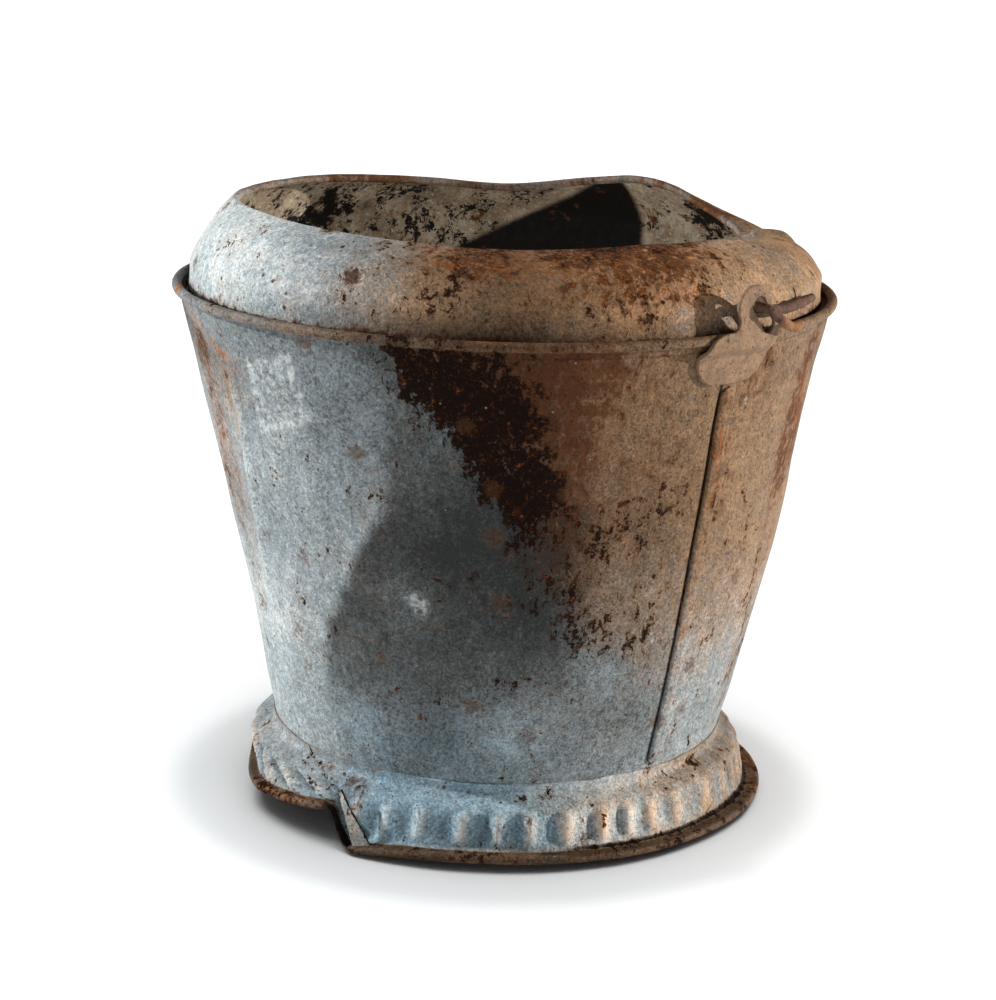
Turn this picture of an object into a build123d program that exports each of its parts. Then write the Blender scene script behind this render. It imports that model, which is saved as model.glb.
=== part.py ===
from build123d import *
import math
import os

# An old galvanised sheet-steel bucket: a tapered wall in two panels, an inward collar round the mouth,
# a flared foot, two stamped ears on the rim, and the two stubs that are left of its wire bail.
# Millimetres, +Z up. The origin is the centre of the foot, on the ground. The ears are on +X and -X.

# Driving dimensions: sheet and fits
SHEET = 0.8  # thickness of every sheet
FIT = 0.03  # gap between pieces that are soldered, wired or riveted together
PLY = SHEET + FIT  # pitch of the layers in a folded seam

# Wall: a cone, measured on its outer face
WALL_LOW = 20.0
WALL_HIGH = 240.6
WALL_BASE_RADIUS = 105.7  # at WALL_LOW
WALL_SLOPE = 0.2105  # growth of the radius per millimetre of height

# Rim bead: the wall's top edge, curled outwards round a wire
BEAD_WIRE = 2.0  # radius
BEAD_INNER = 2.05
BEAD_OUTER = BEAD_INNER + SHEET
RIM_RADIUS = 152.95  # of the wire's centre line
RIM_HEIGHT = 242.6
RIM_GAP = (-85, -50)  # directions between which the curl is open, in degrees from outwards towards up

# Folded side seams between the two panels, under the ears. Azimuths are from +X towards +Y.
SEAM_LOW = 36.0
SEAM_HIGH = 221.0
SEAM_START = -2.1
SEAM_END = 0.6
FOLD = 0.35  # azimuth taken by the thickness of one fold
SEAM_GAP = 0.04  # azimuth between layers end to end
BUTT = -0.8  # azimuth where the panels meet above and below the seam

# Collar: a band inside the wall, a step inwards, an upright and a shoulder that closes in to the lip
COLLAR_LOW = 223.0
COLLAR_STEP_LOW = 236.5
COLLAR_STEP_HIGH = 243.0
COLLAR_RADIUS = 147.8
COLLAR_KNEE = (147.4, 257.5)
COLLAR_SHOULDER = (136.5, 272.8)
LIP_EDGE = (121.9, 281.0)
LIP_WIRE = 1.7  # radius
LIP_INNER = 1.75
LIP_OUTER = LIP_INNER + SHEET
LIP_GAP = (-75, -30)

# Foot ring: a lap round the wall, a sloping shoulder, a skirt and an edge rolled outwards round a wire
FOOT_LAP_HIGH = 35.0
FOOT_LAP_LOW = 29.0
FOOT_SHOULDER = (118.8, 24.0)
FOOT_SKIRT = (124.2, SHEET)
FOOT_BEAD_RADIUS = 128.6
FOOT_BEAD_HEIGHT = BEAD_OUTER
FOOT_GAP = (165, 215)

# Bottom: a pressed disc with a turned-down flange inside the wall and a raised centre
BOTTOM_HEIGHT = 27.0
BOTTOM_CENTRE_RISE = 2.0
BOTTOM_CENTRE_RADIUS = 78.0
BOTTOM_STEP_RADIUS = 82.0

# Ears, drawn on the plane x = 0 as (y, z)
EAR_THICKNESS = 2.0
EAR_HEAD_RADIUS = RIM_RADIUS + BEAD_OUTER + 0.2  # inner face of the upright part
EAR_STEP_LOW = 236.0
EAR_STEP_HIGH = 239.8
PADDLE_CENTRE = (-3.6, 234.8)
PADDLE_SIZE = (40.0, 23.6)  # length and height
PADDLE_TURN = 3.0
PADDLE_REACH = 15.0  # from the paddle's centre down past its edge
HEAD_HIGH = (2.3, 256.1)  # centres of the two round ends of the head
HEAD_LOW = (9.5, 246.0)
HEAD_END = 9.7  # radius
EYE_HIGH = (5.2, 256.6)  # centres of the two round ends of the eye
EYE_LOW = (11.6, 248.3)
EYE_END = 4.0  # radius
NECK_FILLET = 4.0

# Ear rivets, hammered flush outside, with a domed head inside the collar's band
RIVET_HEIGHT = 231.5
RIVET_Y = (-13.0, 6.0)
RIVET_RADIUS = 2.0
RIVET_HEAD_RADIUS = 4.0
RIVET_HEAD_HEIGHT = 1.6
RIVET_SEAT_GAP = 0.1
RIVET_HOLE_DEPTH = 12.0

# Bail stubs: wire that turns through the eye, with its hook outside and its broken run inside
BAIL_WIRE = 2.3  # radius
BAIL_RUN_RADIUS = 152.4  # the run follows the rim
BAIL_RUN_HEIGHT = 252.4
BAIL_AXIS = (5.0, 256.4)  # (y, z) of the point where the wire crosses the ear
BAIL_BREAK = 21.0  # azimuths along the run
BAIL_MIDDLE = 13.0
BAIL_NEAR = 6.3
HOOK_OUTSIDE = 162.2  # x of the hook's outer side
HOOK_BEND = (HOOK_OUTSIDE, 14.5, 250.2)
HOOK_TIP = (160.4, 26.8, 245.2)

os.makedirs("parts", exist_ok=True)


def radial_plane(azimuth):
    """The upright plane through the bucket's axis, with sketch x outwards and sketch y up."""
    c, s = math.cos(math.radians(azimuth)), math.sin(math.radians(azimuth))
    return Plane(origin=(0, 0, 0), x_dir=(c, s, 0), z_dir=(s, -c, 0))


def wall_radius(height):
    """Radius of the wall's outer face."""
    return WALL_BASE_RADIUS + WALL_SLOPE * (height - WALL_LOW)


def wall_strip(azimuth, low, high, first_layer=0, last_layer=0):
    """Section of the wall between two heights and two layers; layer 0 is the wall itself."""
    inner = first_layer * PLY - SHEET
    outer = last_layer * PLY
    with BuildSketch(radial_plane(azimuth)) as section:
        with BuildLine():
            Polyline(
                (wall_radius(low) + inner, low),
                (wall_radius(low) + outer, low),
                (wall_radius(high) + outer, high),
                (wall_radius(high) + inner, high),
                close=True,
            )
        make_face()
    return section.sketch


def curl(azimuth, centre, inner, outer, gap):
    """Section of a sheet's edge rolled round a wire, open between the two directions of the gap."""
    reach = 2 * outer
    with BuildSketch(radial_plane(azimuth)) as section:
        with Locations(centre):
            Circle(outer)
            Circle(inner, mode=Mode.SUBTRACT)
        with BuildLine():
            Polyline(
                centre,
                *[
                    (
                        centre[0] + reach * math.cos(math.radians(direction)),
                        centre[1] + reach * math.sin(math.radians(direction)),
                    )
                    for direction in gap
                ],
                close=True,
            )
        make_face(mode=Mode.SUBTRACT)
    return section.sketch


def add_bands(start, end, low, high, first_layer=0, last_layer=0):
    """Turn a strip of wall from one azimuth to another, and its mirror image at the other ear."""
    for first, last in ((start, end), (180 - end, 180 - start)):
        revolve(
            wall_strip(first, low, high, first_layer, last_layer),
            axis=Axis.Z,
            revolution_arc=last - first,
        )


def add_rim(start, end):
    """Turn the curled top edge of a panel."""
    section = curl(start, (RIM_RADIUS, RIM_HEIGHT), BEAD_INNER, BEAD_OUTER, RIM_GAP)
    revolve(section, axis=Axis.Z, revolution_arc=end - start)


def add_rivet_holes():
    """Cut the rivet holes for both ears."""
    for place in rivet_places:
        with Locations(place):
            Cylinder(RIVET_RADIUS, RIVET_HOLE_DEPTH, mode=Mode.SUBTRACT)


def finish(piece, name):
    """Label a finished piece and write it."""
    piece.part.label = name
    export_step(piece.part, f"parts/{name}.step")


# Rivet positions: on the wall's outer face, with z along the wall's normal, pointing outwards
wall_tilt = math.degrees(math.atan(WALL_SLOPE))
rivet_places = []
for rivet_y in RIVET_Y:
    side = math.degrees(math.asin(rivet_y / wall_radius(RIVET_HEIGHT)))
    for azimuth in (side, 180 - side):
        rivet_places.append(
            Location((0, 0, RIVET_HEIGHT), (0, 0, azimuth))
            * Location((wall_radius(RIVET_HEIGHT), 0, 0), (0, 90 + wall_tilt, 0))
        )

# Front panel (-Y half). At each seam it steps inwards, folds out and returns over the other panel's edge.
with BuildPart() as body_front_panel:
    revolve(
        wall_strip(180 - SEAM_START, WALL_LOW, WALL_HIGH),
        axis=Axis.Z,
        revolution_arc=180 + 2 * SEAM_START,
    )
    for band in ((WALL_LOW, SEAM_LOW - FIT), (SEAM_HIGH + FIT, WALL_HIGH)):
        add_bands(SEAM_START - FOLD, BUTT, *band)
    add_bands(SEAM_START - FOLD, SEAM_START, SEAM_LOW, SEAM_HIGH, -1, 0)
    add_bands(SEAM_START - FOLD, SEAM_END, SEAM_LOW, SEAM_HIGH, -1, -1)
    add_bands(SEAM_END - FOLD, SEAM_END, SEAM_LOW, SEAM_HIGH, -1, 1)
    add_bands(SEAM_START + FOLD + 2 * SEAM_GAP, SEAM_END, SEAM_LOW, SEAM_HIGH, 1, 1)
    add_rim(180 - BUTT, 360 + BUTT)
    add_rivet_holes()

# Back panel (+Y half). At each seam it steps outwards and hooks inwards into the front panel's fold.
with BuildPart() as body_back_panel:
    back_start = SEAM_END + SEAM_GAP
    hook_start = SEAM_START + SEAM_GAP
    revolve(
        wall_strip(back_start, WALL_LOW, WALL_HIGH),
        axis=Axis.Z,
        revolution_arc=180 - 2 * back_start,
    )
    for band in ((WALL_LOW, SEAM_LOW - FIT), (SEAM_HIGH + FIT, WALL_HIGH)):
        add_bands(BUTT + SEAM_GAP, back_start + FOLD, *band)
    add_bands(back_start, back_start + FOLD, SEAM_LOW, SEAM_HIGH, 0, 2)
    add_bands(hook_start, back_start + FOLD, SEAM_LOW, SEAM_HIGH, 2, 2)
    add_bands(hook_start, hook_start + FOLD, SEAM_LOW, SEAM_HIGH, 0, 2)
    add_bands(hook_start, SEAM_END - FOLD - SEAM_GAP, SEAM_LOW, SEAM_HIGH, 0, 0)
    add_rim(BUTT + SEAM_GAP, 180 - BUTT - SEAM_GAP)
    add_rivet_holes()

# Wire inside the rim bead
with BuildPart() as rim_wire:
    with Locations((0, 0, RIM_HEIGHT)):
        Torus(RIM_RADIUS, BEAD_WIRE)

# Collar: one sheet, from the band inside the wall up to the rolled lip
with BuildPart() as collar:
    lip_tilt = math.atan2(LIP_EDGE[1] - COLLAR_SHOULDER[1], COLLAR_SHOULDER[0] - LIP_EDGE[0])
    lip_centre = (
        LIP_EDGE[0] - LIP_OUTER * math.sin(lip_tilt),
        LIP_EDGE[1] - LIP_OUTER * math.cos(lip_tilt),
    )
    with BuildSketch(Plane.XZ):
        with BuildLine():
            FilletPolyline(
                (wall_radius(COLLAR_LOW) - SHEET - FIT, COLLAR_LOW),
                (wall_radius(COLLAR_STEP_LOW) - SHEET - FIT, COLLAR_STEP_LOW),
                (COLLAR_RADIUS, COLLAR_STEP_HIGH),
                COLLAR_KNEE,
                COLLAR_SHOULDER,
                LIP_EDGE,
                radius=[2, 2, 9, 14],
            )
            offset(amount=SHEET, side=Side.LEFT)
        make_face()
        add(curl(0, lip_centre, LIP_INNER, LIP_OUTER, LIP_GAP))
    revolve(axis=Axis.Z)
    add_rivet_holes()

# Wire inside the lip
with BuildPart() as collar_lip_wire:
    with Locations((0, 0, lip_centre[1])):
        Torus(lip_centre[0], LIP_WIRE)

# Bottom disc
with BuildPart() as bottom_disc:
    with BuildSketch(Plane.XZ):
        with BuildLine():
            FilletPolyline(
                (0, BOTTOM_HEIGHT + BOTTOM_CENTRE_RISE),
                (BOTTOM_CENTRE_RADIUS, BOTTOM_HEIGHT + BOTTOM_CENTRE_RISE),
                (BOTTOM_STEP_RADIUS, BOTTOM_HEIGHT),
                (wall_radius(BOTTOM_HEIGHT) - SHEET - FIT, BOTTOM_HEIGHT),
                (wall_radius(WALL_LOW) - SHEET - FIT, WALL_LOW),
                radius=1.5,
            )
            offset(amount=SHEET, side=Side.RIGHT)
        make_face()
    revolve(axis=Axis.Z)

# Foot ring
with BuildPart() as foot_ring:
    foot_centre = (FOOT_BEAD_RADIUS, FOOT_BEAD_HEIGHT)
    with BuildSketch(Plane.XZ):
        with BuildLine():
            FilletPolyline(
                (wall_radius(FOOT_LAP_HIGH) + PLY, FOOT_LAP_HIGH),
                (wall_radius(FOOT_LAP_LOW) + PLY, FOOT_LAP_LOW),
                FOOT_SHOULDER,
                FOOT_SKIRT,
                (FOOT_BEAD_RADIUS, SHEET),
                radius=[2, 4, 1],
            )
            offset(amount=SHEET, side=Side.RIGHT)
        make_face()
        add(curl(0, foot_centre, BEAD_INNER, BEAD_OUTER, FOOT_GAP))
    revolve(axis=Axis.Z)

# Wire inside the foot's rolled edge
with BuildPart() as foot_wire:
    with Locations((0, 0, FOOT_BEAD_HEIGHT)):
        Torus(FOOT_BEAD_RADIUS, BEAD_WIRE)

# Ear: a stamping that lies on the wall, steps out past the rim bead and ends in an eye
with BuildPart() as ear_right:
    ear_reach = 10  # azimuth on each side, wider than the ear
    paddle_low = PADDLE_CENTRE[1] - PADDLE_REACH
    with BuildSketch(radial_plane(-ear_reach)) as ear_section:
        with BuildLine():
            FilletPolyline(
                (wall_radius(paddle_low) + FIT, paddle_low),
                (wall_radius(EAR_STEP_LOW) + FIT, EAR_STEP_LOW),
                (EAR_HEAD_RADIUS, EAR_STEP_HIGH),
                (EAR_HEAD_RADIUS, HEAD_HIGH[1] + 2 * HEAD_END),
                radius=[2.5, 2.5],
            )
            offset(amount=EAR_THICKNESS, side=Side.RIGHT)
        make_face()
    revolve(axis=Axis.Z, revolution_arc=2 * ear_reach)
    head_run = (HEAD_LOW[0] - HEAD_HIGH[0], HEAD_LOW[1] - HEAD_HIGH[1])
    eye_run = (EYE_LOW[0] - EYE_HIGH[0], EYE_LOW[1] - EYE_HIGH[1])
    with BuildSketch(Plane.YZ) as ear_outline:
        with Locations(PADDLE_CENTRE):
            SlotOverall(*PADDLE_SIZE, rotation=PADDLE_TURN)
        with Locations(((HEAD_HIGH[0] + HEAD_LOW[0]) / 2, (HEAD_HIGH[1] + HEAD_LOW[1]) / 2)):
            SlotCenterToCenter(
                math.hypot(*head_run),
                2 * HEAD_END,
                rotation=math.degrees(math.atan2(head_run[1], head_run[0])),
            )
        # Out and back in again, which rounds the inside corners of the neck
        offset(amount=NECK_FILLET)
        offset(amount=-NECK_FILLET)
        with Locations(((EYE_HIGH[0] + EYE_LOW[0]) / 2, (EYE_HIGH[1] + EYE_LOW[1]) / 2)):
            SlotCenterToCenter(
                math.hypot(*eye_run),
                2 * EYE_END,
                rotation=math.degrees(math.atan2(eye_run[1], eye_run[0])),
                mode=Mode.SUBTRACT,
            )
    extrude(amount=2 * RIM_RADIUS, mode=Mode.INTERSECT)
    add_rivet_holes()

with BuildPart() as ear_left:
    add(mirror(ear_right.part, about=Plane.YZ, mode=Mode.PRIVATE))

# Rivet, along z with the wall's outer face at z = 0: a shank through ear, wall and collar, and a domed head
with BuildPart() as rivet:
    seat = -2 * PLY - RIVET_SEAT_GAP
    dome_radius = (RIVET_HEAD_RADIUS**2 + RIVET_HEAD_HEIGHT**2) / (2 * RIVET_HEAD_HEIGHT)
    dome_arc = math.degrees(math.asin(RIVET_HEAD_RADIUS / dome_radius))
    with BuildSketch(Plane.XZ):
        with BuildLine():
            Polyline(
                (0, seat - RIVET_HEAD_HEIGHT),
                (0, EAR_THICKNESS),
                (RIVET_RADIUS - FIT, EAR_THICKNESS),
                (RIVET_RADIUS - FIT, seat),
                (RIVET_HEAD_RADIUS, seat),
            )
            CenterArc((0, seat - RIVET_HEAD_HEIGHT + dome_radius), dome_radius, 270, dome_arc)
        make_face()
    revolve(axis=Axis.Z)

with BuildPart() as ear_rivets_right:
    with Locations(rivet_places[0::2]):
        add(rivet.part)

with BuildPart() as ear_rivets_left:
    with Locations(rivet_places[1::2]):
        add(rivet.part)

# Bail stub: the broken run along the rim, the turn through the eye and the hook outside it
with BuildPart() as bail_stub_right:
    run = [
        (
            BAIL_RUN_RADIUS * math.cos(math.radians(azimuth)),
            BAIL_RUN_RADIUS * math.sin(math.radians(azimuth)),
            BAIL_RUN_HEIGHT,
        )
        for azimuth in (BAIL_BREAK, BAIL_MIDDLE, BAIL_NEAR)
    ]
    with BuildLine() as bail_path:
        FilletPolyline(
            *run,
            (BAIL_RUN_RADIUS, *BAIL_AXIS),
            (HOOK_OUTSIDE, *BAIL_AXIS),
            HOOK_BEND,
            HOOK_TIP,
            radius=[60, 14, 3.7, 3.7, 14],
        )
    with BuildSketch(Plane(origin=bail_path.line @ 0, z_dir=bail_path.line % 0)):
        Circle(BAIL_WIRE)
    sweep(path=bail_path.line)

with BuildPart() as bail_stub_left:
    add(mirror(bail_stub_right.part, about=Plane.YZ, mode=Mode.PRIVATE))

finish(body_front_panel, "body_front_panel")
finish(body_back_panel, "body_back_panel")
finish(rim_wire, "rim_wire")
finish(collar, "collar")
finish(collar_lip_wire, "collar_lip_wire")
finish(bottom_disc, "bottom_disc")
finish(foot_ring, "foot_ring")
finish(foot_wire, "foot_wire")
finish(ear_right, "ear_right")
finish(ear_left, "ear_left")
finish(ear_rivets_right, "ear_rivets_right")
finish(ear_rivets_left, "ear_rivets_left")
finish(bail_stub_right, "bail_stub_right")
finish(bail_stub_left, "bail_stub_left")
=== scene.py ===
import math

import bmesh
import bpy
import numpy as np
from mathutils import Matrix, Vector


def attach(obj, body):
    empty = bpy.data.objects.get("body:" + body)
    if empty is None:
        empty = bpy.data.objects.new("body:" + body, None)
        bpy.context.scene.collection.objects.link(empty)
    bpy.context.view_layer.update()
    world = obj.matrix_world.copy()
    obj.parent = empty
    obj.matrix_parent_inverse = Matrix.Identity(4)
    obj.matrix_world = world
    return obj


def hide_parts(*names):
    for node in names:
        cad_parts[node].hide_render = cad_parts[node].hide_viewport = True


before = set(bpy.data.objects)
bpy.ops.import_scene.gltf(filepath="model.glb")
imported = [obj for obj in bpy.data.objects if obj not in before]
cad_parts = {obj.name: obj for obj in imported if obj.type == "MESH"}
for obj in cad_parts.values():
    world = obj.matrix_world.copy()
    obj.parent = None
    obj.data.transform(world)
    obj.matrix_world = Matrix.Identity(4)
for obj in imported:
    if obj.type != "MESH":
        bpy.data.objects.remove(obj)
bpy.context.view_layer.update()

# An old galvanised bucket on a pale floor. Lengths are in millimetres until a mesh is made, +Z up.
# "Turn" is the azimuth measured from the direction of the camera, in degrees, positive to the right in its view.
MM = 0.001
SHEET = 0.8  # thickness of the zinc
PLY = 0.83  # pitch of the layers in a folded seam
FACE = -41.5  # azimuth from +X of the side that faces the camera

# --- camera and light


def place(name, data, matrix=None):
    piece = bpy.data.objects.new(name, data)
    bpy.context.scene.collection.objects.link(piece)
    if matrix is not None:
        piece.matrix_world = Matrix(matrix.tolist())
    return piece


def aim(back, up):
    """A rotation whose +Z is back and whose +Y is as near as it can be to up."""
    z = back / np.linalg.norm(back)
    x = np.cross(up, z)
    x /= np.linalg.norm(x)
    turn = np.eye(4)
    turn[:3, 0], turn[:3, 1], turn[:3, 2] = x, np.cross(z, x), z
    return turn


CAMERA_LENS = 84.876
CAMERA_AT = (825.4, -730.2, 428.6)
CAMERA_BACK = (0.72427, -0.64069, 0.25486)
CAMERA_UP = (-0.20960, 0.14756, 0.96659)


def make_camera():
    data = bpy.data.cameras.new("camera")
    data.lens = CAMERA_LENS
    data.clip_end = 100
    matrix = aim(np.array(CAMERA_BACK), np.array(CAMERA_UP))
    matrix[:3, 3] = np.array(CAMERA_AT) * MM
    bpy.context.scene.camera = place("camera", data, matrix)


def direction(turn, elevation):
    a, e = math.radians(turn + FACE), math.radians(elevation)
    return np.array((math.cos(a) * math.cos(e), math.sin(a) * math.cos(e), math.sin(e)))


def make_sun(name, turn, elevation, strength, size, colour):
    """A sun that shines from (turn, elevation), size degrees across."""
    data = bpy.data.lights.new(name, "SUN")
    data.energy = strength
    data.angle = math.radians(size)
    data.color = colour
    return place(name, data, aim(direction(turn, elevation), np.array((0.0, 0.0, 1.0))))


# --- numbers: noise, curves, deformation


def lattice(i, j, k, seed):
    """A value from -1 to 1 for each corner of a grid, always the same for the same seed."""
    h = (i * 374761393 + j * 668265263 + k * 1440662683 + seed * 974634777) & 0xFFFFFFFF
    h = ((h ^ (h >> 13)) * 1274126177) & 0xFFFFFFFF
    return ((h ^ (h >> 16)) & 0xFFFF) / 32767.5 - 1


def noise(p, size, seed):
    """Smooth noise from -1 to 1 at the points p."""
    q = p / size
    base = np.floor(q).astype(np.int64)
    f = q - base
    f = f * f * f * (f * (f * 6 - 15) + 10)
    total = 0
    for dx in (0, 1):
        for dy in (0, 1):
            for dz in (0, 1):
                weight = np.abs(1 - dx - f[..., 0]) * np.abs(1 - dy - f[..., 1]) * np.abs(1 - dz - f[..., 2])
                total = total + weight * lattice(base[..., 0] + dx, base[..., 1] + dy, base[..., 2] + dz, seed)
    return total


def fbm(p, size, seed, octaves):
    """Noise with finer noise laid over it."""
    return sum(noise(p, size / 2**n, seed + n) * 0.5**n for n in range(octaves))


def wrap(angle):
    return (angle + 180) % 360 - 180


def ring_curve(points, turn, blur):
    """A smooth closed curve through (turn, value) points, read at turn."""
    grid = np.arange(-180, 180, 0.5)
    x, y = zip(*sorted(points))
    line = np.interp(grid, x, y, period=360)
    frequency = np.fft.rfftfreq(len(grid), 0.5)
    line = np.fft.irfft(np.fft.rfft(line) * np.exp(-2 * (math.pi * blur * frequency) ** 2), len(grid))
    return np.interp(turn, grid, line, period=360)


def along(points, x):
    """The line through (x, value) points, read at x."""
    xs, ys = zip(*sorted(points))
    return np.interp(x, xs, ys)


def smooth(x, low, high):
    t = np.clip((x - low) / (high - low), 0, 1)
    return t * t * (3 - 2 * t)


def hill(x, centre, width):
    return np.exp(-(((x - centre) / width) ** 2))


def patches(turn, z, *each):
    """The sum of soft patches, each of them (amount, turn, half width, height, half height)."""
    return sum(amount * hill(turn, at, width) * hill(z, up, tall) for amount, at, width, up, tall in each)


def wall_radius(z):
    return 105.7 + 0.2105 * (z - 20.0)


def polar(radius, turn, z):
    a = np.radians(turn + FACE)
    return np.stack(np.broadcast_arrays(radius * np.cos(a), radius * np.sin(a), z), axis=-1)


LEAN = direction(90, 0)


def settle(p):
    """The whole body leans a little to one side, most of all at a third of its height."""
    z = p[..., 2]
    amount = 3.3 * np.exp(-(((z - 100) / 95) ** 2)) * np.clip(z / 30, 0, 1)
    return p + amount[..., None] * LEAN


# (height, turn) of the crease that runs down the wall's left side
CREASE = [
    (40, -59), (59, -58.8), (124, -58.5), (174, -55), (199.5, -54),
    (203, -54.7), (218, -54), (228, -62), (239.5, -76),
]


def dents(turn, z):
    """How far the wall's surface stands out of its cone."""
    p = polar(wall_radius(z), turn, z)
    calm = smooth(z, 30, 60) * (1 - smooth(z, 215, 236))
    out = (1.1 * fbm(p, 95, 11, 2) + 0.45 * fbm(p, 34, 21, 2)) * calm
    # The crease with the hollow beside it
    off = wrap(turn - along(CREASE, z))
    strength = smooth(z, 60, 170) * (1 - smooth(z, 216, 232))
    out = out + strength * (1.7 * hill(off, 0, 1.5) - 1.9 * hill(off, -7, 6))
    swelling, knock = (1.3, -92, 16, 195, 40), (-1.3, -17, 5, 124, 10)
    return out + patches(turn, z, swelling, knock, (-1.6, 20, 14, 150, 40), (2.2, 88, 20, 145, 75))


def controls(turn, *points):
    """Control points of a profile round the axis, from (radius, height) pairs: a number, or a value for each turn."""
    flat = np.ones_like(turn)
    return np.stack([np.stack((radius * flat, height * flat), -1) for radius, height in points], axis=1)


def corners_cut(p):
    """Chaikin's corner cutting along axis 1, three times, ends kept."""
    for _ in range(3):
        a, b = p[:, :-1], p[:, 1:]
        inner = np.stack((a * 0.75 + b * 0.25, a * 0.25 + b * 0.75), axis=2).reshape(len(p), -1, p.shape[2])
        p = np.concatenate((p[:, :1], inner[:, 1:-1], p[:, -1:]), axis=1)
    return p


def evenly(p, count):
    """Each row of p, (rows, points, axes), as count points evenly spaced along it."""
    step = np.linalg.norm(np.diff(p, axis=1), axis=2)
    length = np.concatenate((np.zeros((len(p), 1)), np.cumsum(step, axis=1)), axis=1)
    length /= length[:, -1:]
    t = np.linspace(0, 1, count)
    rows = [[np.interp(t, length[i], p[i, :, axis]) for axis in range(p.shape[2])] for i in range(len(p))]
    return np.moveaxis(np.array(rows), 1, 2)


# --- meshes


def make_mesh(name, points, faces, materials, inside=None, crease=40):
    mesh = bpy.data.meshes.new(name)
    mesh.from_pydata((np.asarray(points) * MM).tolist(), [], faces)
    for material in materials:
        mesh.materials.append(material)
    if inside is not None:
        mesh.polygons.foreach_set("material_index", inside)
    mesh.validate()
    mesh.shade_smooth()
    mesh.set_sharp_from_angle(angle=math.radians(crease))
    return place(name, mesh)


def heading(p, closed):
    """The way along axis 0, at each point."""
    return np.roll(p, -1, 0) - np.roll(p, 1, 0) if closed else np.gradient(p, axis=0)


def sheet(name, middle, materials, closed=True, cap=False, lined=None):
    """A sheet round a grid of points (stations, profile, 3), closed round the stations or not. cap fills its first
    row, as a disc. lined is the profile index up to which the inner skin takes the second material."""
    across = heading(middle, closed)
    normal = np.cross(across, np.gradient(middle, axis=1))
    normal /= np.maximum(np.linalg.norm(normal, axis=2, keepdims=True), 1e-9)
    skins = np.stack((middle + normal * SHEET / 2, middle - normal * SHEET / 2))
    rows, cols = middle.shape[:2]
    index = np.arange(2 * rows * cols).reshape(2, rows, cols)
    if closed:
        index = np.concatenate((index, index[:, :1]), axis=1)
    out, inn = index

    def quads(a, b, c, d):
        return np.stack((a, b, c, d), axis=-1).reshape(-1, 4)

    outer = quads(out[:-1, :-1], out[1:, :-1], out[1:, 1:], out[:-1, 1:])
    inner = quads(inn[:-1, 1:], inn[1:, 1:], inn[1:, :-1], inn[:-1, :-1])
    rim = [quads(out[:-1, -1], out[1:, -1], inn[1:, -1], inn[:-1, -1])]
    if not cap:
        rim.append(quads(out[1:, 0], out[:-1, 0], inn[:-1, 0], inn[1:, 0]))
    if not closed:
        rim.append(quads(out[0, :-1], out[0, 1:], inn[0, 1:], inn[0, :-1]))
        rim.append(quads(out[-1, 1:], out[-1, :-1], inn[-1, :-1], inn[-1, 1:]))
    rim = np.concatenate(rim)
    faces = np.concatenate((outer, inner, rim)).tolist()
    inside = None
    if lined is not None:
        profile = np.tile(np.arange(cols - 1), len(inner) // (cols - 1))
        inside = np.concatenate((np.zeros(len(outer), int), (profile < lined).astype(int), np.zeros(len(rim), int)))
    if cap:
        faces.append(out[:-1, 0][::-1].tolist())
        faces.append(inn[:-1, 0].tolist())
    return make_mesh(name, skins.reshape(-1, 3), faces, materials, inside)


def paint(piece, **layers):
    """Values for the shaders, one for each point of the grid that a sheet was made from."""
    count = len(piece.data.vertices)
    for name, values in layers.items():
        values = np.clip(np.asarray(values, dtype=float), -4, 4).reshape(-1)
        layer = piece.data.attributes.new(name, "FLOAT", "POINT")
        layer.data.foreach_set("value", np.tile(values, count // len(values)))


SIDES = 14  # of a thick wire
CAP_RINGS = 3  # rings of points in a wire's rounded end


def tube(name, path, radius, materials, closed=False, sides=SIDES, lumps=0.0, seed=0):
    """A wire along a path. Its ends are rounded off unevenly, and lumps is the height of its crust."""
    count = len(path)
    tangent = heading(path, closed)
    tangent /= np.linalg.norm(tangent, axis=1, keepdims=True)
    side = np.cross(tangent[0], (0.0, 0.0, 1.0))
    rings = []
    for n in range(count):
        side = side - tangent[n] * np.dot(side, tangent[n])
        side /= np.linalg.norm(side)
        up = np.cross(tangent[n], side)
        turn = np.linspace(0, 2 * math.pi, sides, endpoint=False)[:, None]
        rings.append(np.cos(turn) * side + np.sin(turn) * up)
    rings = np.array(rings)
    body = path[:, None] + rings * radius
    if lumps:
        rough = lumps * (fbm(body, 5.0, seed, 3) + 0.5 * np.abs(noise(body, 1.6, seed + 9)))
        body = body + rings * rough[..., None]
    points = body.reshape(-1, 3)
    index = np.arange(count * sides).reshape(count, sides)
    if closed:
        index = np.concatenate((index, index[:1]))
    index = np.concatenate((index, index[:, :1]), axis=1)
    faces = np.stack((index[:-1, :-1], index[:-1, 1:], index[1:, 1:], index[1:, :-1]), axis=-1).reshape(-1, 4).tolist()
    if not closed:
        for end, way in ((0, -1), (-1, 1)):
            last = index[end, :-1]
            for step in range(1, CAP_RINGS + 1):
                angle = step / (CAP_RINGS + 0.6) * math.pi / 2
                cup = path[end] + (body[end] - path[end]) * math.cos(angle)
                cup = cup + way * tangent[end] * math.sin(angle) * radius * 0.7
                cup = cup + 0.12 * radius * noise(cup, 2.0, seed + 31)[:, None] * tangent[end]
                new = np.arange(len(points), len(points) + sides)
                points = np.concatenate((points, cup))
                for n in range(sides):
                    m = (n + 1) % sides
                    quad = [int(last[n]), int(last[m]), int(new[m]), int(new[n])]
                    faces.append(quad if way > 0 else quad[::-1])
                last = new
            faces.append([int(v) for v in (last if way > 0 else last[::-1])])
    return make_mesh(name, points, faces, materials, crease=60)


# --- materials


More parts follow.
